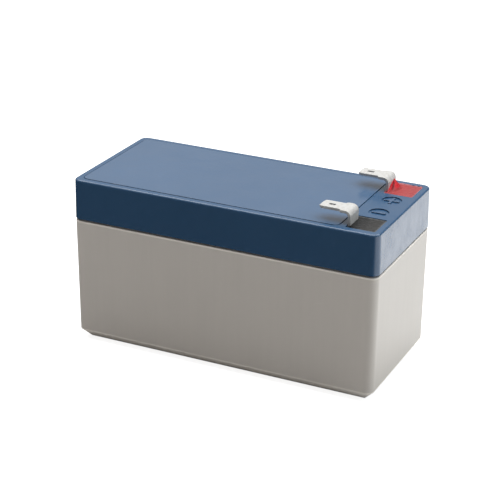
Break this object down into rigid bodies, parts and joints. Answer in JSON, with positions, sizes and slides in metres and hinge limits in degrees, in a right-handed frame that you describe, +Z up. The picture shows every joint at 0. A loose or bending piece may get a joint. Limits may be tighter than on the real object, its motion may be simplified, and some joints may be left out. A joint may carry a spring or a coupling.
{
  "type": "sealed lead acid battery",
  "caption": "Small sealed lead acid battery: grey container, dark blue lid with a cover plate, and two folded push-on tabs in resin wells at one end.",
  "frame": {"origin": "centre of the footprint, on the surface that the battery stands on", "axes": "+X along the case towards the end with the terminals, +Z up, the positive terminal on the +Y side"},
  "size_m": [0.097, 0.0434, 0.0558],
  "materials": {
    "case_plastic": "satin",
    "lid_plastic": "satin",
    "sealant": "matte",
    "rubber": "matte",
    "positive_paste": "matte",
    "negative_paste": "matte",
    "glass_mat": "matte",
    "lead": "dull",
    "tinned_tab": "satin",
    "solder": "satin",
    "red_resin": "satin",
    "dark_resin": "matte"
  },
  "bodies": {
    "root": {"container": "case_plastic", "lid": "lid_plastic", "cover_plate": "lid_plastic", "lid_sealant": "sealant", "positive_tab": "tinned_tab", "negative_tab": "tinned_tab", "positive_solder": "solder", "negative_solder": "solder", "positive_seal": "rubber", "negative_seal": "rubber", "positive_resin": "red_resin", "negative_resin": "dark_resin", "valve_cap_1": "rubber", "positive_group_1": "positive_paste", "negative_group_1": "negative_paste", "separators_1": "glass_mat", "valve_cap_2": "rubber", "positive_group_2": "positive_paste", "negative_group_2": "negative_paste", "separators_2": "glass_mat", "valve_cap_3": "rubber", "positive_group_3": "positive_paste", "negative_group_3": "negative_paste", "separators_3": "glass_mat", "valve_cap_4": "rubber", "positive_group_4": "positive_paste", "negative_group_4": "negative_paste", "separators_4": "glass_mat", "valve_cap_5": "rubber", "positive_group_5": "positive_paste", "negative_group_5": "negative_paste", "separators_5": "glass_mat", "valve_cap_6": "rubber", "positive_group_6": "positive_paste", "negative_group_6": "negative_paste", "separators_6": "glass_mat", "cell_link_1": "lead", "cell_link_2": "lead", "cell_link_3": "lead", "cell_link_4": "lead", "cell_link_5": "lead"}
  },
  "joints": []
}
